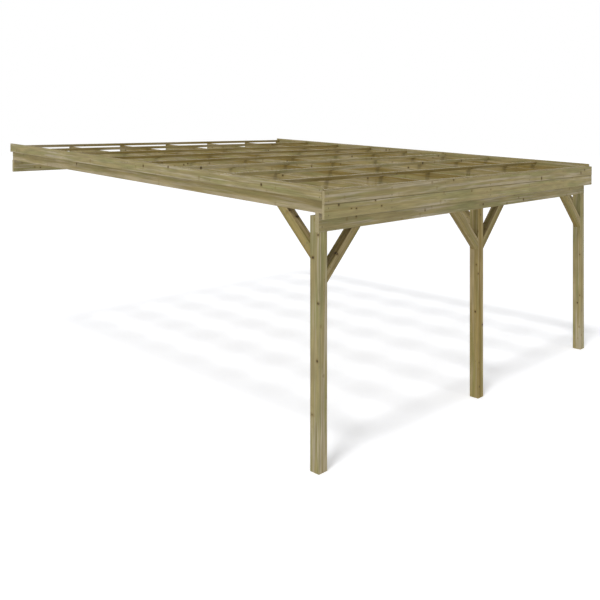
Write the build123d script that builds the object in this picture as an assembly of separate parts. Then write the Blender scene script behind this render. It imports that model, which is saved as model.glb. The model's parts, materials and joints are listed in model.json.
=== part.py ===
from build123d import *
from math import ceil, cos, isclose, radians, sin, tan
import os

os.makedirs("parts", exist_ok=True)

# Lean-to timber carport: three posts carry a front beam, a wall plate is fixed to a wall,
# sloping rafters cross from one to the other and battens for the roof sheets lie on them.
# Millimetres. X runs along the wall, +Y points into the wall and +Z up. Heights below are
# taken from the ground, and the origin is the centre of the wall plate's back face.

# Overall frame
frame_length = 5300
frame_depth = 6175
clear_height_at_front = 2132
roof_pitch = 2.43

# Sawn and planed sections
post_section = 110
beam_thickness = 45
beam_height = 175
plate_thickness = 45
plate_height = 175
rafter_thickness = 45
rafter_height = 175
brace_section = 90
batten_width = 57
batten_height = 36
fascia_thickness = 30
fascia_height = 120
lower_fascia_thickness = 28
lower_fascia_height = 127
arris = 3

# Spacings, reaches and gaps
post_count = 3
rafter_spacing = 892
middle_rafter_left = 26
rafter_overhang = 66
batten_rows = 9
seat_depth = 3
post_ear_drop = 31
front_brace_reach = 458
back_brace_reach = 432
wall_gap = 15
fascia_drop = 50
fascia_board_gap = 2
side_fascia_upstand = 28
corner_gap = 4
batten_end_gap = 2

# Levels and lines that the pieces share
slope = tan(radians(roof_pitch))
plumb = 1 / cos(radians(roof_pitch))
half_length = frame_length / 2
front_face = -frame_depth
beam_back = front_face + beam_thickness
beam_top = clear_height_at_front + beam_height
rafter_tail = front_face - rafter_overhang
rafter_end = -wall_gap
plate_front = -plate_thickness


def rafter_underside(y):
    """Height of the rafters' lower face above the ground, at a distance y from the wall."""
    return beam_top - seat_depth + slope * (y - beam_back)


plate_top = rafter_underside(rafter_end) + seat_depth
plate_bottom = plate_top - plate_height
origin_height = plate_top - plate_height / 2


def block(x_range, y_range, z_range):
    """Square-edged block between two limits on each axis."""
    size = [limits[1] - limits[0] for limits in (x_range, y_range, z_range)]
    centre = [(limits[1] + limits[0]) / 2 for limits in (x_range, y_range, z_range)]
    return Pos(*centre) * Box(*size)


def timber(x_range, y_range, z_range, grain):
    """Planed timber with eased arrises along its grain."""
    piece = block(x_range, y_range, z_range)
    return chamfer(piece.edges().filter_by(grain), arris)


def sloping_timber(x_range, y_low, y_high, rise_above_underside, thickness):
    """Planed timber that follows the roof slope, with plumb-cut ends.

    Its lower face lies rise_above_underside over the rafters' lower face, square to the slope."""
    spare = thickness + abs(rise_above_underside)
    run = (y_high - y_low) * plumb + spare
    z_range = (rise_above_underside, rise_above_underside + thickness)
    plank = timber(x_range, (-spare, run), z_range, Axis.Y)
    laid = Pos(0, y_low, rafter_underside(y_low)) * Rot(roof_pitch, 0, 0) * plank
    envelope = block(x_range, (y_low, y_high), (0, 2 * plate_top))
    return laid & envelope


def post(x_left):
    """Square post, rebated at the front so that the beam sits flush in it."""
    x_range = (x_left, x_left + post_section)
    y_range = (front_face, front_face + post_section)
    shaft = timber(x_range, y_range, (0, beam_top - post_ear_drop), Axis.Z)
    rebate = block(x_range, (front_face, beam_back), (clear_height_at_front, beam_top))
    return shaft - rebate


def rafter(x_left):
    """Rafter notched over the front beam and over the wall plate."""
    x_range = (x_left, x_left + rafter_thickness)
    plank = sloping_timber(x_range, rafter_tail, rafter_end, 0, rafter_height)
    beam_seat = block(x_range, (front_face, beam_back), (clear_height_at_front, beam_top))
    plate_seat = block(x_range, (plate_front, 0), (plate_bottom, plate_top))
    return plank - beam_seat - plate_seat


def batten(row):
    """Roofing batten laid across the rafters, square to the slope."""
    first = rafter_tail + batten_end_gap
    last = rafter_end - batten_width
    y_low = first + row * (last - first) / (batten_rows - 1)
    rafter_top = rafter_underside(y_low) + rafter_height * plumb
    lath = timber((-half_length, half_length), (0, batten_width), (0, batten_height), Axis.X)
    return Pos(0, y_low, rafter_top) * Rot(roof_pitch, 0, 0) * lath


def front_brace(x_face, side):
    """Knee brace in the plane of the posts, from a post's side up to the beam.

    x_face is the post's side face, and side is +1 for a brace to its right, -1 to its left."""
    width = brace_section * 2 ** 0.5
    foot = clear_height_at_front - front_brace_reach
    outline = [
        (x_face, foot),
        (x_face + side * front_brace_reach, clear_height_at_front),
        (x_face + side * (front_brace_reach - width), clear_height_at_front),
        (x_face, foot + width),
    ]
    face = Plane.XZ * make_face(Polyline(*outline, close=True))
    brace = extrude(face, amount=-brace_section)
    return ease_slanting_edges(Pos(0, front_face, 0) * brace)


def back_brace(x_left):
    """Knee brace from a post's back up to the rafter behind it."""
    width = brace_section * 2 ** 0.5
    post_back = front_face + post_section
    foot = rafter_underside(post_back + back_brace_reach) - back_brace_reach
    upper_reach = (rafter_underside(post_back) - foot - width) / (1 - slope)
    outline = [
        (post_back, foot),
        (post_back + back_brace_reach, foot + back_brace_reach),
        (post_back + upper_reach, foot + width + upper_reach),
        (post_back, foot + width),
    ]
    face = Plane.YZ * make_face(Polyline(*outline, close=True))
    brace = extrude(face, amount=brace_section)
    return ease_slanting_edges(Pos(x_left, 0, 0) * brace)


def ease_slanting_edges(brace):
    """Eased arrises along a brace, whose own edges are the ones that climb at 45 degrees."""
    climb = sin(radians(45))
    slanting = [edge for edge in brace.edges() if isclose(abs(edge.tangent_at(0.5).Z), climb, abs_tol=0.01)]
    return chamfer(slanting, arris)


def side_fascia(x_left):
    """Board along a side of the roof, standing a little above the battens."""
    x_range = (x_left, x_left + fascia_thickness)
    roof_top = rafter_height + batten_height
    rise = roof_top + side_fascia_upstand - fascia_height
    return sloping_timber(x_range, rafter_tail + corner_gap, 0, rise, fascia_height)


def front_fascia(z_low, height, thickness):
    """One of the two boards nailed across the rafters' tails."""
    x_end = half_length + fascia_thickness
    y_range = (rafter_tail - thickness, rafter_tail)
    return timber((-x_end, x_end), y_range, (z_low, z_low + height), Axis.X)


pieces = {}

# Posts
post_names = ["post_left", "post_middle", "post_right"]
post_pitch = (frame_length - post_section) / (post_count - 1)
post_lefts = [-half_length + index * post_pitch for index in range(post_count)]
for name, x_left in zip(post_names, post_lefts):
    pieces[name] = post(x_left)

# Front beam and wall plate
beam_z = (clear_height_at_front, beam_top)
pieces["front_beam"] = timber((-half_length, half_length), (front_face, beam_back), beam_z, Axis.X)
plate_z = (plate_bottom, plate_top)
pieces["wall_plate"] = timber((-half_length, half_length), (plate_front, 0), plate_z, Axis.X)

# Knee braces
pieces["brace_left_side"] = back_brace(-half_length)
pieces["brace_left_front"] = front_brace(post_lefts[0] + post_section, 1)
pieces["brace_middle_left"] = front_brace(post_lefts[1], -1)
pieces["brace_middle_right"] = front_brace(post_lefts[1] + post_section, 1)
pieces["brace_middle_back"] = back_brace(post_lefts[1] + (post_section - brace_section) / 2)
pieces["brace_right_front"] = front_brace(post_lefts[2], -1)
pieces["brace_right_side"] = back_brace(half_length - brace_section)

# Rafters, spaced out both ways from the one that the middle brace bears on
pieces["side_rafter_left"] = rafter(-half_length)
clear_run = half_length - 2 * rafter_thickness - middle_rafter_left
rafters_each_way = ceil(clear_run / rafter_spacing) - 1
for number in range(1, 2 * rafters_each_way + 2):
    steps_from_middle = number - 1 - rafters_each_way
    pieces[f"rafter_{number}"] = rafter(middle_rafter_left + steps_from_middle * rafter_spacing)
pieces["side_rafter_right"] = rafter(half_length - rafter_thickness)

# Battens
for row in range(batten_rows):
    pieces[f"batten_{row + 1}"] = batten(row)

# Fascia boards
pieces["side_fascia_left"] = side_fascia(-half_length - fascia_thickness)
pieces["side_fascia_right"] = side_fascia(half_length)
lower_z = beam_top - fascia_drop
upper_z = lower_z + lower_fascia_height + fascia_board_gap
pieces["front_fascia_lower"] = front_fascia(lower_z, lower_fascia_height, lower_fascia_thickness)
pieces["front_fascia_upper"] = front_fascia(upper_z, fascia_height, fascia_thickness)

for name, solid in pieces.items():
    export_step(Pos(0, 0, -origin_height) * solid, f"parts/{name}.step")
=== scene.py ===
import json
import math
import random

import bpy
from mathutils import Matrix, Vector


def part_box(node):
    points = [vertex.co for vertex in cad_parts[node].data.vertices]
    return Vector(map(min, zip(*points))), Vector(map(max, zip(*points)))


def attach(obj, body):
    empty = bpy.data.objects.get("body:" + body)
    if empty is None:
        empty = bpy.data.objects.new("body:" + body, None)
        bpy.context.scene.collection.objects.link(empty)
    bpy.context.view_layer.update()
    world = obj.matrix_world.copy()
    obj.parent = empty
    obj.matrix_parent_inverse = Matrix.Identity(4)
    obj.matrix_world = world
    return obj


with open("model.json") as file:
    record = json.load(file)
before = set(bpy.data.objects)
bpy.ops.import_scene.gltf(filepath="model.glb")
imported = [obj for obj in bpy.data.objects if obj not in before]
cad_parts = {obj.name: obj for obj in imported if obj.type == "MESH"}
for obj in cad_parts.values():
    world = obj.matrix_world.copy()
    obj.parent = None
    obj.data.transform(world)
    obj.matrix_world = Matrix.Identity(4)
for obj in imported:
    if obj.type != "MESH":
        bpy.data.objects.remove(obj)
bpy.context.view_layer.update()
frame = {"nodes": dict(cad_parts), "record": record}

# Lean-to carport frame in planed, pressure-treated pine. Metres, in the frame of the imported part:
# X along the wall, +Y into the wall, +Z up, with the origin in the wall plate's back face.

# Places read from the part
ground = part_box("post_left")[0].z
roof_normal = Vector(next(m["axis"] for m in frame["record"]["mounts"] if m["name"] == "roof_seat"))
roof_pitch = math.atan2(-roof_normal.y, roof_normal.z)
inner_rafters = [f"rafter_{number}" for number in range(1, 6)]
rafters = ["side_rafter_left", *inner_rafters, "side_rafter_right"]
battens = [name for name in frame["nodes"] if name.startswith("batten_")]
posts = ["post_left", "post_middle", "post_right"]
front_braces = ["brace_left_front", "brace_middle_left", "brace_middle_right", "brace_right_front"]
back_braces = ["brace_left_side", "brace_middle_back", "brace_right_side"]

# Directions and turns
front = Vector((0.0, -1.0, 0.0))
left = Vector((-1.0, 0.0, 0.0))
right = Vector((1.0, 0.0, 0.0))
quarter = math.radians(90)
half_quarter = math.radians(45)
full_turn = 2 * math.pi


def centre(node):
    """Middle of a node's box."""
    low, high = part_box(node)
    return (low + high) / 2


def onto_face(node, point, direction):
    """The point moved along a direction until it lies in the node's outermost face that way."""
    outermost = max(vertex.co.dot(direction) for vertex in frame["nodes"][node].data.vertices)
    return point + direction * (outermost - point.dot(direction))


def linear(hex_colour):
    """sRGB hex colour as the linear RGBA that Blender's sockets take."""
    shares = [int(hex_colour[place:place + 2], 16) / 255 for place in (1, 3, 5)]
    return tuple(s / 12.92 if s <= 0.04045 else ((s + 0.055) / 1.055) ** 2.4 for s in shares) + (1.0,)


def add(tree, kind, *values, named=None, **settings):
    """A node with its settings and inputs.

    The values go to the inputs that the node shows, in their order, and those in named go to inputs
    by name. A socket is linked, and so is a node, by the first output that it shows."""
    made = tree.nodes.new(kind)
    for name, setting in settings.items():
        setattr(made, name, setting)
    shown = [socket for socket in made.inputs if socket.enabled]
    filled = list(zip(shown, values))
    filled += [(made.inputs[name], value) for name, value in (named or {}).items()]
    for socket, value in filled:
        if isinstance(value, bpy.types.Node):
            value = next(output for output in value.outputs if output.enabled)
        if isinstance(value, bpy.types.NodeSocket):
            tree.links.new(value, socket)
        else:
            socket.default_value = value
    return made


# Settings that several nodes share
smoothly = {"interpolation_type": "SMOOTHSTEP"}
coloured = {"data_type": "RGBA"}
darkening = {"data_type": "RGBA", "blend_type": "MULTIPLY"}


# Treated pine

# Growth rings. Real ones are 3 to 5 mm apart, which is under half a pixel in the picture, so they
# are drawn 9 mm apart. They wander along the board and swell where they pass a knot.
ring_width = 0.009
ring_wander = 0.028
ring_swell = 0.0135
latewood_start = (0.45, 0.92)
latewood_stop = (1.0, 0.94)

# The tree from its pith outwards: brown heartwood, beige sapwood and the paler wood under the bark
heart_radius = 0.030
heart_wander = 0.035
sapwood_radius = 0.062
outer_wood_radius = 0.075
pale_wood_radius = 1.7 * outer_wood_radius
outer_paleness = 0.14

# Knots: their spacing on a shell round the pith, and the size of the dark core and brown rim
knot_spacing = 0.125
knot_shell_radius = 0.06
knot_core = 0.012
knot_core_fade = 0.005
knot_rim_radius = 0.026
knot_rim_fade = 0.008
knot_raggedness = 0.006

# Grains of the noises that vary the figure: length along the board and width across it. Streaks,
# patches and clouds are a quarter of a board to half a board wide, as on treated pine. Wood fibres are
# 0.03 mm wide, far too fine to show, so they are drawn as bundles of 4 mm. A drying check is under a
# millimetre wide, and its dark line is drawn about as wide as that.
streak_grain = (0.9, 0.026)
patch_grain = (0.55, 0.07)
cloud_grain = (0.26, 0.034)
fibre_grain = (0.12, 0.004)
ring_wander_grain = (1.4, 0.12)
heart_wander_grain = (0.8, 0.03)
knot_edge_grain = (0.02, 0.02)
check_grain = (0.55, 0.014)
checked_part_grain = (0.7, 0.2)

# Where each noise or measure starts and ends to show, and in those of four numbers what it turns into
green_patches = (0.40, 0.66)
grey_streaks = (0.49, 0.64)
streaked_heart = (0.72, 0.38, 0.35, 0.95)
cloud_lightness = (0.32, 0.68, 0.87, 1.09)
fibre_lightness = (0.25, 0.75, 0.93, 1.07)
checked_parts = (0.56, 0.64)
check_middle = 0.5
check_edge = (0.007, 0.002)
end_facing = (0.80, 0.95)
edge_highlight_facing = (0.92, 0.78)
# Painted shade: how far a face must look up before it is painted darker
painted_top_shade_facing = (0.2, 0.8, 0.0, 0.85)
latewood_sheen = (0.0, 1.0, 0.74, 0.58)

# How strongly each shows, in colour and in relief
latewood_share = 0.38
check_share = 0.7
knot_rim_share = 0.6
knot_core_share = 0.88
end_rings_share = 0.7
end_share = 0.8
edge_highlight_share = 0.6
end_roughening = 0.12
latewood_height = 0.35
fibre_height = 0.5
check_depth = 1.2
relief_strength = 0.35
relief_depth = 0.0015
planed_wood_specular = 0.3

sap_beige = "#AB9D6E"
sap_green = "#9D9765"
sap_grey = "#C2B699"
heart_brown = "#8C783A"
latewood_brown = "#8A7644"
knot_brown = "#44341A"
knot_rim = "#86703F"
end_grain = "#C4B891"
# Painted highlight on the eased edges, as if they caught the light
painted_edge_highlight = "#B2A47C"
check_shade = "#5C5131"
# Painted shade laid over the faces that look up
painted_top_shade = "#D2CCBB"


def pine_figure():
    """Node group with the figure of sawn pine, solid through the board.

    Board is the place in the board's own axes, X along the grain and Y and Z from the pith. Facing is
    the surface's normal in the same axes, Start is how far along the tree the board begins, and
    Upward is how far the surface faces the sky."""
    tree = bpy.data.node_groups.new("pine_figure", "ShaderNodeTree")
    sockets = [("Board", "INPUT", "Vector"), ("Facing", "INPUT", "Vector"), ("Start", "INPUT", "Float"),
               ("Upward", "INPUT", "Float"), ("Colour", "OUTPUT", "Color"),
               ("Roughness", "OUTPUT", "Float"), ("Height", "OUTPUT", "Float")]
    for name, in_out, kind in sockets:
        tree.interface.new_socket(name, in_out=in_out, socket_type=f"NodeSocket{kind}")
    given = add(tree, "NodeGroupInput").outputs

    board = add(tree, "ShaderNodeSeparateXYZ", given["Board"]).outputs
    along = add(tree, "ShaderNodeMath", board["X"], given["Start"], operation="ADD")
    place = add(tree, "ShaderNodeCombineXYZ", along, board["Y"], board["Z"])

    def stretched(grain, detail, roughness=0.5):
        """Noise whose grains have that length along the board and that width across it."""
        length, width = grain
        scaled = add(tree, "ShaderNodeVectorMath", place, (1 / length, 1 / width, 1 / width),
                     operation="MULTIPLY")
        return add(tree, "ShaderNodeTexNoise", scaled, 1.0, detail, roughness)

    # Knots are branches that run out from the pith, so they depend on the turn round it, not the depth
    across = add(tree, "ShaderNodeCombineXYZ", 0.0, board["Y"], board["Z"])
    outward = add(tree, "ShaderNodeVectorMath", across, operation="NORMALIZE")
    on_shell = add(tree, "ShaderNodeVectorMath", outward, knot_shell_radius, operation="SCALE")
    along_tree = add(tree, "ShaderNodeCombineXYZ", along)
    whorl = add(tree, "ShaderNodeVectorMath", on_shell, along_tree, operation="ADD")
    branch = add(tree, "ShaderNodeTexVoronoi", whorl, 1 / knot_spacing, voronoi_dimensions="3D",
                 feature="F1")
    from_knot = add(tree, "ShaderNodeMath", branch, knot_spacing, operation="MULTIPLY")
    ragged = add(tree, "ShaderNodeMath", stretched(knot_edge_grain, 2.0), knot_raggedness, from_knot,
                 operation="MULTIPLY_ADD")
    core = add(tree, "ShaderNodeMapRange", ragged, knot_core + knot_core_fade, knot_core, **smoothly)
    rim = add(tree, "ShaderNodeMapRange", ragged, knot_rim_radius + knot_rim_fade, knot_core, **smoothly)

    # Growth rings round the pith, each from pale early wood to darker latewood with a sharp stop
    radius = add(tree, "ShaderNodeVectorMath", across, operation="LENGTH")
    wandered = add(tree, "ShaderNodeMath", stretched(ring_wander_grain, 2.0), ring_wander, radius,
                   operation="MULTIPLY_ADD")
    swollen = add(tree, "ShaderNodeMath", rim, ring_swell, wandered, operation="MULTIPLY_ADD")
    years = add(tree, "ShaderNodeMath", swollen, ring_width, operation="DIVIDE")
    year = add(tree, "ShaderNodeMath", years, operation="FRACT")
    thickening = add(tree, "ShaderNodeMapRange", year, *latewood_start, **smoothly)
    stopping = add(tree, "ShaderNodeMapRange", year, *latewood_stop, **smoothly)
    latewood = add(tree, "ShaderNodeMath", thickening, stopping, operation="MULTIPLY")
    from_heart = add(tree, "ShaderNodeMath", stretched(heart_wander_grain, 3.0), heart_wander, radius,
                     operation="MULTIPLY_ADD")
    heart = add(tree, "ShaderNodeMapRange", from_heart, sapwood_radius, heart_radius, **smoothly)

    # Patches of the preservative's green, streaks of greyer sapwood, and brown heartwood between them
    streak = stretched(streak_grain, 3.0, 0.55)
    patch = stretched(patch_grain, 2.0)
    fibre = stretched(fibre_grain, 2.0, 0.6)
    green = add(tree, "ShaderNodeMapRange", patch, *green_patches, **smoothly)
    colour = add(tree, "ShaderNodeMix", green, linear(sap_beige), linear(sap_green), **coloured)
    outer = add(tree, "ShaderNodeMapRange", radius, outer_wood_radius, pale_wood_radius, 0.0,
                outer_paleness, **smoothly)
    greyness = add(tree, "ShaderNodeMath", streak, outer, operation="ADD")
    grey = add(tree, "ShaderNodeMapRange", greyness, *grey_streaks, **smoothly)
    colour = add(tree, "ShaderNodeMix", grey, colour, linear(sap_grey), **coloured)
    between_streaks = add(tree, "ShaderNodeMapRange", streak, *streaked_heart, **smoothly)
    brown = add(tree, "ShaderNodeMath", heart, between_streaks, operation="MULTIPLY")
    colour = add(tree, "ShaderNodeMix", brown, colour, linear(heart_brown), **coloured)
    ringed = add(tree, "ShaderNodeMath", latewood, latewood_share, operation="MULTIPLY")
    colour = add(tree, "ShaderNodeMix", ringed, colour, linear(latewood_brown), **coloured)
    cloud = add(tree, "ShaderNodeMapRange", stretched(cloud_grain, 3.0), *cloud_lightness, **smoothly)
    fibres = add(tree, "ShaderNodeMapRange", fibre, *fibre_lightness, **smoothly)
    lightness = add(tree, "ShaderNodeMath", cloud, fibres, operation="MULTIPLY")
    toned = add(tree, "ShaderNodeCombineXYZ", lightness, lightness, lightness)
    colour = add(tree, "ShaderNodeMix", 1.0, colour, toned, **darkening)

    # Drying checks: fine dark cracks along the grain, in places only
    line = add(tree, "ShaderNodeMath", stretched(check_grain, 1.0), check_middle, operation="SUBTRACT")
    from_line = add(tree, "ShaderNodeMath", line, operation="ABSOLUTE")
    cracked = add(tree, "ShaderNodeMapRange", stretched(checked_part_grain, 1.0), *checked_parts,
                  **smoothly)
    crack = add(tree, "ShaderNodeMapRange", from_line, *check_edge, **smoothly)
    check = add(tree, "ShaderNodeMath", crack, cracked, operation="MULTIPLY")
    shaded = add(tree, "ShaderNodeMath", check, check_share, operation="MULTIPLY")
    colour = add(tree, "ShaderNodeMix", shaded, colour, linear(check_shade), **coloured)
    rimmed = add(tree, "ShaderNodeMath", rim, knot_rim_share, operation="MULTIPLY")
    colour = add(tree, "ShaderNodeMix", rimmed, colour, linear(knot_rim), **coloured)
    cored = add(tree, "ShaderNodeMath", core, knot_core_share, operation="MULTIPLY")
    colour = add(tree, "ShaderNodeMix", cored, colour, linear(knot_brown), **coloured)

    # The fresh-sawn ends are paler than the faces and show the rings, and the eased edges get a painted
    # highlight
    facing = add(tree, "ShaderNodeSeparateXYZ", given["Facing"]).outputs
    endwise, sidewise, upright = [add(tree, "ShaderNodeMath", facing[axis], operation="ABSOLUTE")
                                  for axis in ("X", "Y", "Z")]
    end = add(tree, "ShaderNodeMapRange", endwise, *end_facing, **smoothly)
    squarest = add(tree, "ShaderNodeMath", sidewise, upright, operation="MAXIMUM")
    flat = add(tree, "ShaderNodeMath", endwise, squarest, operation="MAXIMUM")
    edge_highlight_mask = add(tree, "ShaderNodeMapRange", flat, *edge_highlight_facing, **smoothly)
    end_rings = add(tree, "ShaderNodeMath", latewood, end_rings_share, operation="MULTIPLY")
    end_tone = add(tree, "ShaderNodeMix", end_rings, linear(end_grain), linear(latewood_brown),
                   **coloured)
    ended = add(tree, "ShaderNodeMath", end, end_share, operation="MULTIPLY")
    colour = add(tree, "ShaderNodeMix", ended, colour, end_tone, **coloured)
    # Painted highlight: the eased edges are painted lighter
    edge_highlight = add(tree, "ShaderNodeMath", edge_highlight_mask, edge_highlight_share, operation="MULTIPLY")
    colour = add(tree, "ShaderNodeMix", edge_highlight, colour, linear(painted_edge_highlight), **coloured)

    # Faces that look up are painted a shade darker: painted shade that stands in for weaker light from
    # above
    painted_top_shade_mask = add(tree, "ShaderNodeMapRange", given["Upward"], *painted_top_shade_facing, **smoothly)
    colour = add(tree, "ShaderNodeMix", painted_top_shade_mask, colour, linear(painted_top_shade), **darkening)

    # Dense latewood planes smoother and stands proud, cut ends are rougher and checks are open
    sheen = add(tree, "ShaderNodeMapRange", latewood, *latewood_sheen, **smoothly)
    roughness = add(tree, "ShaderNodeMath", end, end_roughening, sheen, operation="MULTIPLY_ADD")
    raised_fibre = add(tree, "ShaderNodeMath", fibre, fibre_height, operation="MULTIPLY")
    ridges = add(tree, "ShaderNodeMath", latewood, latewood_height, raised_fibre,
                 operation="MULTIPLY_ADD")
    opened = add(tree, "ShaderNodeMath", check, check_depth, operation="MULTIPLY")
    height = add(tree, "ShaderNodeMath", ridges, opened, operation="SUBTRACT")
    add(tree, "NodeGroupOutput", colour, roughness, height)
    return tree


def treated_pine(name, turn, middle, pith, start, tint):
    """Planed softwood, pressure-treated: matt, olive beige, with brown knots and heartwood.

    Turn lays the board's grain along the piece, middle is the piece's middle, pith is where the tree's
    centre lies from it across the grain, start picks another length of the same tree, and tint
    multiplies the whole board's colour."""
    material = bpy.data.materials.new(name)
    material.use_nodes = True
    tree = material.node_tree
    tree.nodes.clear()
    place = add(tree, "ShaderNodeTexCoord").outputs
    board = add(tree, "ShaderNodeMapping", place["Object"], middle, turn, vector_type="TEXTURE")
    from_pith = add(tree, "ShaderNodeVectorMath", board, (0.0, *pith), operation="SUBTRACT")
    facing = add(tree, "ShaderNodeMapping", place["Normal"], named={"Rotation": turn},
                 vector_type="TEXTURE")
    upward = add(tree, "ShaderNodeSeparateXYZ", place["Normal"]).outputs["Z"]
    figure = add(tree, "ShaderNodeGroup", from_pith, facing, start, upward, node_tree=pine).outputs
    colour = add(tree, "ShaderNodeMix", 1.0, figure["Colour"], linear(tint), **darkening)
    relief = add(tree, "ShaderNodeBump", relief_strength, relief_depth,
                 named={"Height": figure["Height"]})
    shader = add(tree, "ShaderNodeBsdfPrincipled",
                 named={"Base Color": colour, "Roughness": figure["Roughness"], "Normal": relief,
                        "Specular IOR Level": planed_wood_specular})
    add(tree, "ShaderNodeOutputMaterial", shader)
    return material


pine = pine_figure()

along_x = (0.0, 0.0, 0.0)
along_y = (0.0, -roof_pitch, quarter)
along_z = (0.0, -quarter, 0.0)
climbing_right = (0.0, -half_quarter, 0.0)
climbing_left = (0.0, -3 * half_quarter, 0.0)
climbing_back = (0.0, -half_quarter, quarter)


def turn_of(node):
    """Rotation that lays the grain along a node."""
    if node in ("brace_left_front", "brace_middle_right"):
        return climbing_right
    if node in ("brace_middle_left", "brace_right_front"):
        return climbing_left
    if node in back_braces:
        return climbing_back
    if node in posts:
        return along_z
    if "rafter" in node or "side_fascia" in node:
        return along_y
    return along_x


# How far the pith may lie from the middle of a piece, through its thickness and across its width:
# square posts and braces hold it or lie just beside it, deep rafters and beams have it just under
# one face, and the boards are cut beside it, so that their knots come straight out of the wide face
pith_place = {
    "post": (0.030, 0.030),
    "brace": (0.030, 0.020),
    "batten": (0.020, 0.060),
    "fascia": (0.050, 0.015),
    "rafter": (0.030, 0.030),
    "timber": (0.030, 0.030),
}
# Rafters and boards lie with their heartwood towards the upper edge, which is the browner one
heart_rise = {"rafter": 0.045, "fascia": 0.02}
# Posts whose pith and length of the tree are chosen, for their knots and their lighter edges
chosen_pith = {"post_left": (-0.018, 0.004), "post_middle": (-0.036, 0.015),
               "post_right": (-0.025, 0.015)}
chosen_start = {"post_middle": 65.5, "post_right": 54.5}
# The figure's colour is multiplied by a tint: braces, battens and rafters are a little darker than the
# rest, and some single timbers are lighter or browner than their family
plain_tint = "#FFFFFF"
family_tint = {"brace": "#EDE7D2", "batten": "#F2F0E8", "rafter": "#F2EEE2"}
chosen_tint = {"post_middle": "#F8F0DC", "brace_left_side": "#FDF6E2", "brace_left_front": "#E0D8C0",
               "front_fascia_upper": "#FAF8F4"}
# Every timber is also a shade lighter or darker than the next, and comes from its own metres of the tree
timber_seed = 7
shade_range = (0.95, 1.0)
start_range = (5.0, 95.0)


def kind_of(node):
    """The family that a node's timber belongs to."""
    return next((family for family in pith_place if family in node), "timber")


def dress_timbers():
    """Each timber gets a board of its own, cut from another place in the tree."""
    chance = random.Random(timber_seed)
    for node, piece in sorted(frame["nodes"].items()):
        family = kind_of(node)
        deep, wide = pith_place[family]
        rise = heart_rise.get(family, 0.0)
        pith = (deep * chance.choice((-1, 1)), rise + wide * chance.uniform(-1.0, 1.0))
        shade = chance.uniform(*shade_range)
        start = chance.uniform(*start_range)
        pith = chosen_pith.get(node, pith)
        start = chosen_start.get(node, start)
        full = chosen_tint.get(node, family_tint.get(family, plain_tint))
        shares = [int(full[place:place + 2], 16) for place in (1, 3, 5)]
        tint = "#" + "".join(f"{round(share * shade):02X}" for share in shares)
        finish = treated_pine(f"treated_pine_{node}", turn_of(node), centre(node), pith, start, tint)
        piece.data.materials.clear()
        piece.data.materials.append(finish)


dress_timbers()


# Screws

# Radius of a head, how far it stands out of the timber, the width of its bit socket and of the
# crushed timber round it as shares of the head, and each disc's height as a share of the rise
screw_head = 0.0055
screw_rise = 0.0004
socket_share = 0.42
crushed_share = 1.45
disc_taper = 0.94
crushed_level = 0.35
head_level = 0.7
socket_level = 1.0
head_sides = 12
socket_sides = 6
spin_seed = 3
beam_screw_size = 1.3
brace_screw_size = 1.1

# Where the screws stand
fascia_pair_offset = 0.032
beam_pair_spread = 0.055
beam_pair_levels = (0.25, 0.75)
brace_end_margin = 0.12
brace_pair_offset = 0.022

# Scuffs about a millimetre wide, finer than the picture shows
scuff_scale = 900.0
scuff_range = (0.3, 0.7)
scuff_roughness = 0.1
scuff_darkening = 0.85


def scuffed_finish(name, hex_colour, roughness, metallic):
    """Even finish with fine scuffs in its tone and roughness."""
    material = bpy.data.materials.new(name)
    material.use_nodes = True
    tree = material.node_tree
    tree.nodes.clear()
    place = add(tree, "ShaderNodeTexCoord").outputs["Object"]
    scuffs = add(tree, "ShaderNodeTexNoise", place, scuff_scale, 2.0)
    rough = add(tree, "ShaderNodeMapRange", scuffs, *scuff_range, roughness - scuff_roughness,
                roughness + scuff_roughness)
    tone = add(tree, "ShaderNodeMapRange", scuffs, *scuff_range, scuff_darkening, 1.0)
    shade = add(tree, "ShaderNodeCombineXYZ", tone, tone, tone)
    colour = add(tree, "ShaderNodeMix", 1.0, linear(hex_colour), shade, **darkening)
    shader = add(tree, "ShaderNodeBsdfPrincipled",
                 named={"Base Color": colour, "Roughness": rough, "Metallic": metallic})
    add(tree, "ShaderNodeOutputMaterial", shader)
    return material


# Olive organic coating over zinc, as on screws for treated timber: dull, hardly a glint
coated_steel = scuffed_finish("olive_coated_screw_steel", "#948A66", 0.55, 0.2)
# The shadow in the bit socket: dark and matt
socket_shade = scuffed_finish("screw_socket_shadow", "#4A4230", 0.8, 0.0)
# Pine fibres crushed round a driven head: a little darker and duller than the planed face
crushed_pine = scuffed_finish("crushed_pine_round_head", "#877848", 0.85, 0.0)


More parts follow.
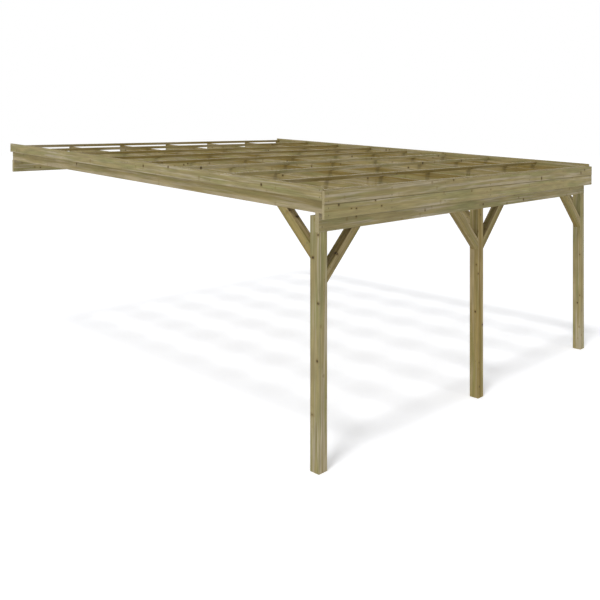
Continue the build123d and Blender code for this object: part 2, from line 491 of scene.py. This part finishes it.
def screw_tree():
    """Geometry nodes that drive a countersunk screw at each point, along the point's own direction."""
    tree = bpy.data.node_groups.new("driven_screws", "GeometryNodeTree")
    tree.interface.new_socket("Geometry", in_out="INPUT", socket_type="NodeSocketGeometry")
    for name, value in (("Head radius", screw_head), ("Rise", screw_rise)):
        socket = tree.interface.new_socket(name, in_out="INPUT", socket_type="NodeSocketFloat")
        socket.default_value = value
    tree.interface.new_socket("Geometry", in_out="OUTPUT", socket_type="NodeSocketGeometry")
    given = add(tree, "NodeGroupInput").outputs
    drive = add(tree, "GeometryNodeInputNamedAttribute", "drive", data_type="FLOAT_VECTOR")
    facing = add(tree, "FunctionNodeAlignRotationToVector", named={"Vector": drive}, axis="Z")
    spin = add(tree, "FunctionNodeRandomValue", 0.0, full_turn, named={"Seed": spin_seed},
               data_type="FLOAT")
    about = add(tree, "ShaderNodeCombineXYZ", 0.0, 0.0, spin)
    spun = add(tree, "FunctionNodeRotateRotation", facing, about, rotation_space="LOCAL")

    def disc_at_each(sides, share, level, material):
        """A thin disc at each screw, with a share of the head's radius and of the rise."""
        wide = add(tree, "ShaderNodeMath", given["Head radius"], share, operation="MULTIPLY")
        narrow = add(tree, "ShaderNodeMath", wide, disc_taper, operation="MULTIPLY")
        high = add(tree, "ShaderNodeMath", given["Rise"], level, operation="MULTIPLY")
        disc = add(tree, "GeometryNodeMeshCone", named={"Vertices": sides, "Radius Top": narrow,
                                                        "Radius Bottom": wide, "Depth": high})
        driven = add(tree, "GeometryNodeInstanceOnPoints",
                     named={"Points": given["Geometry"], "Instance": disc, "Rotation": spun})
        realised = add(tree, "GeometryNodeRealizeInstances", driven)
        return add(tree, "GeometryNodeSetMaterial", realised, named={"Material": material})

    discs = [disc_at_each(head_sides, crushed_share, crushed_level, crushed_pine),
             disc_at_each(head_sides, 1.0, head_level, coated_steel),
             disc_at_each(socket_sides, socket_share, socket_level, socket_shade)]
    screw = add(tree, "GeometryNodeJoinGeometry")
    for disc in discs:
        tree.links.new(disc.outputs["Geometry"], screw.inputs["Geometry"])
    add(tree, "NodeGroupOutput", screw)
    return tree


screws = screw_tree()


def drive_screws(name, places, radius):
    """One piece with a screw at each place, given as a point and the direction that its head faces."""
    mesh = bpy.data.meshes.new(name)
    mesh.from_pydata([point for point, _ in places], [], [])
    drive = mesh.attributes.new("drive", "FLOAT_VECTOR", "POINT")
    drive.data.foreach_set("vector", [value for _, direction in places for value in direction])
    piece = bpy.data.objects.new(name, mesh)
    bpy.context.scene.collection.objects.link(piece)
    modifier = piece.modifiers.new("screws", "NODES")
    modifier.node_group = screws
    head = next(socket for socket in screws.interface.items_tree if socket.name == "Head radius")
    modifier[head.identifier] = radius
    bpy.context.view_layer.update()
    shown = piece.evaluated_get(bpy.context.evaluated_depsgraph_get())
    plain = bpy.data.meshes.new_from_object(shown)
    piece.modifiers.clear()
    piece.data = plain
    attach(piece, "root")


def fascia_screws():
    """A pair through each front board into each rafter's tail, and pairs along the side boards."""
    places = []
    for board in ("front_fascia_lower", "front_fascia_upper"):
        middle = centre(board)
        for rafter in rafters:
            for offset in (-fascia_pair_offset, fascia_pair_offset):
                point = Vector((centre(rafter).x, middle.y, middle.z + offset))
                places.append((onto_face(board, point, front), front))
    for board, side in (("side_fascia_left", left), ("side_fascia_right", right)):
        middle = centre(board)
        for batten in battens[::2]:
            reach = centre(batten).y - middle.y
            for offset in (-fascia_pair_offset, fascia_pair_offset):
                point = middle + Vector((0.0, reach, reach * math.tan(roof_pitch) + offset))
                places.append((onto_face(board, point, side), side))
    return places


def batten_screws():
    """One through each batten where it crosses a rafter."""
    places = []
    for batten in battens:
        for rafter in rafters:
            point = centre(batten)
            point.x = centre(rafter).x
            places.append((onto_face(batten, point, roof_normal), roof_normal))
    return places


def beam_screws():
    """Two through the front beam into each post, one above the other and a little aside."""
    low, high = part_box("front_beam")
    places = []
    for post in posts:
        for share in beam_pair_levels:
            across = centre(post).x + (share - 0.5) * beam_pair_spread
            point = Vector((across, low.y, low.z + share * (high.z - low.z)))
            places.append((onto_face("front_beam", point, front), front))
    return places


def brace_screws():
    """Two at each end of each knee brace, in the face that shows."""
    low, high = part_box(front_braces[0])
    brace_width = high.y - low.y
    places = []
    for brace in front_braces + back_braces:
        low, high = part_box(brace)
        middle = (low + high) / 2
        rise = (high.z - low.z) / 2
        if brace in front_braces:
            lean = 1.0 if turn_of(brace) == climbing_right else -1.0
            grain = Vector((lean, 0.0, 1.0)).normalized()
            side = front
        else:
            grain = Vector((0.0, 1.0, 1.0)).normalized()
            side = right if brace == "brace_right_side" else left
        inward = (Vector((0.0, 0.0, 1.0)) - grain * grain.z).normalized()
        middle += inward * brace_width / 2
        reach = rise * math.sqrt(2) - brace_end_margin
        for end in (-1, 1):
            for offset in (-brace_pair_offset, brace_pair_offset):
                point = middle + grain * end * reach + inward * offset
                places.append((onto_face(brace, point, side), side))
    return places


drive_screws("fascia_board_screws", fascia_screws(), screw_head)
drive_screws("batten_row_screws", batten_screws(), screw_head)
drive_screws("beam_to_post_screws", beam_screws(), beam_screw_size * screw_head)
drive_screws("knee_brace_screws", brace_screws(), brace_screw_size * screw_head)


# Floor, light and camera

floor_half = 60.0
white = (1.0, 1.0, 1.0, 1.0)
# The camera sees the floor in the first colour, with a glow that brings its lit parts to white. The
# light that it throws back up at the timbers has the colour of floor_bounce.
floor_seen = "#FBFCFF"
floor_glow = 0.27
floor_bounce = "#F4F4F4"
sky_strength = 0.37

# Lamps: name, direction, strength and width in degrees, which softens the shadows. The sun stands at
# the viewer's upper left: the roof's shadow lies a metre to the right of the roof, and a third of a
# metre behind it. The broad fills light the two sides that the camera sees, and a weaker one the back.
lamps = [
    ("sun", (0.42, 0.14, -1.0), 1.3, 10.5),
    ("side_fill", (1.0, 0.0, -0.36), 0.40, 45.0),
    ("front_fill", (0.0, 1.0, -0.2), 0.30, 20.0),
    ("rear_fill", (-1.0, -1.0, -0.35), 0.35, 30.0),
]

# The camera stands off the near corner at 45 degrees and looks level, with the lens shifted down
camera_place = Vector((-7.446, -10.736, ground + 3.090))
camera_bearing = -45.0
picture_width = 600
focal_pixels = 752.0
horizon_pixel = 123.8
sensor_width = 36.0


def sees_background(tree):
    """1 for the rays to which the floor and the sky are the white background, 0 for those that light."""
    path = add(tree, "ShaderNodeLightPath").outputs
    mirrored = add(tree, "ShaderNodeMath", path["Is Glossy Ray"], path["Is Transmission Ray"],
                   operation="MAXIMUM")
    return add(tree, "ShaderNodeMath", path["Is Camera Ray"], mirrored, operation="MAXIMUM")


def pale_floor():
    """Floor that the camera sees as white where nothing shades it."""
    mesh = bpy.data.meshes.new("floor")
    corners = [(floor_half * x, floor_half * y, ground) for x, y in ((-1, -1), (1, -1), (1, 1), (-1, 1))]
    mesh.from_pydata(corners, [], [(0, 1, 2, 3)])
    floor = bpy.data.objects.new("floor", mesh)
    bpy.context.scene.collection.objects.link(floor)
    material = bpy.data.materials.new("white_studio_floor")
    material.use_nodes = True
    tree = material.node_tree
    tree.nodes.clear()
    seen = add(tree, "ShaderNodeBsdfDiffuse", linear(floor_seen))
    glow = add(tree, "ShaderNodeEmission", white, floor_glow)
    both = add(tree, "ShaderNodeAddShader", seen, glow)
    bounce = add(tree, "ShaderNodeBsdfDiffuse", linear(floor_bounce))
    mix = add(tree, "ShaderNodeMixShader", sees_background(tree), bounce, both)
    add(tree, "ShaderNodeOutputMaterial", mix)
    mesh.materials.append(material)


def sun_and_fills():
    """The lamps, all at a great distance."""
    for name, direction, strength, width in lamps:
        lamp = bpy.data.lights.new(name, "SUN")
        lamp.energy = strength
        lamp.angle = math.radians(width)
        sun = bpy.data.objects.new(name, lamp)
        sun.rotation_euler = Vector(direction).to_track_quat("-Z", "Y").to_euler()
        bpy.context.scene.collection.objects.link(sun)


def even_sky():
    """Sky that lights evenly from all round and is white to the camera."""
    world = bpy.data.worlds.new("studio")
    bpy.context.scene.world = world
    world.use_nodes = True
    tree = world.node_tree
    tree.nodes.clear()
    sky = add(tree, "ShaderNodeBackground", white, sky_strength)
    background = add(tree, "ShaderNodeBackground", white, 1.0)
    mix = add(tree, "ShaderNodeMixShader", sees_background(tree), sky, background)
    add(tree, "ShaderNodeOutputWorld", mix)


def take_camera():
    """Level camera with upright lines upright, as in the photograph."""
    lens = bpy.data.cameras.new("camera")
    lens.sensor_width = sensor_width
    lens.lens = focal_pixels / picture_width * sensor_width
    lens.shift_y = (horizon_pixel - picture_width / 2) / picture_width
    camera = bpy.data.objects.new("camera", lens)
    camera.location = camera_place
    camera.rotation_euler = (quarter, 0.0, math.radians(camera_bearing))
    bpy.context.scene.collection.objects.link(camera)
    bpy.context.scene.camera = camera


pale_floor()
sun_and_fills()
even_sky()
take_camera()
bpy.context.scene.view_settings.view_transform = "Standard"
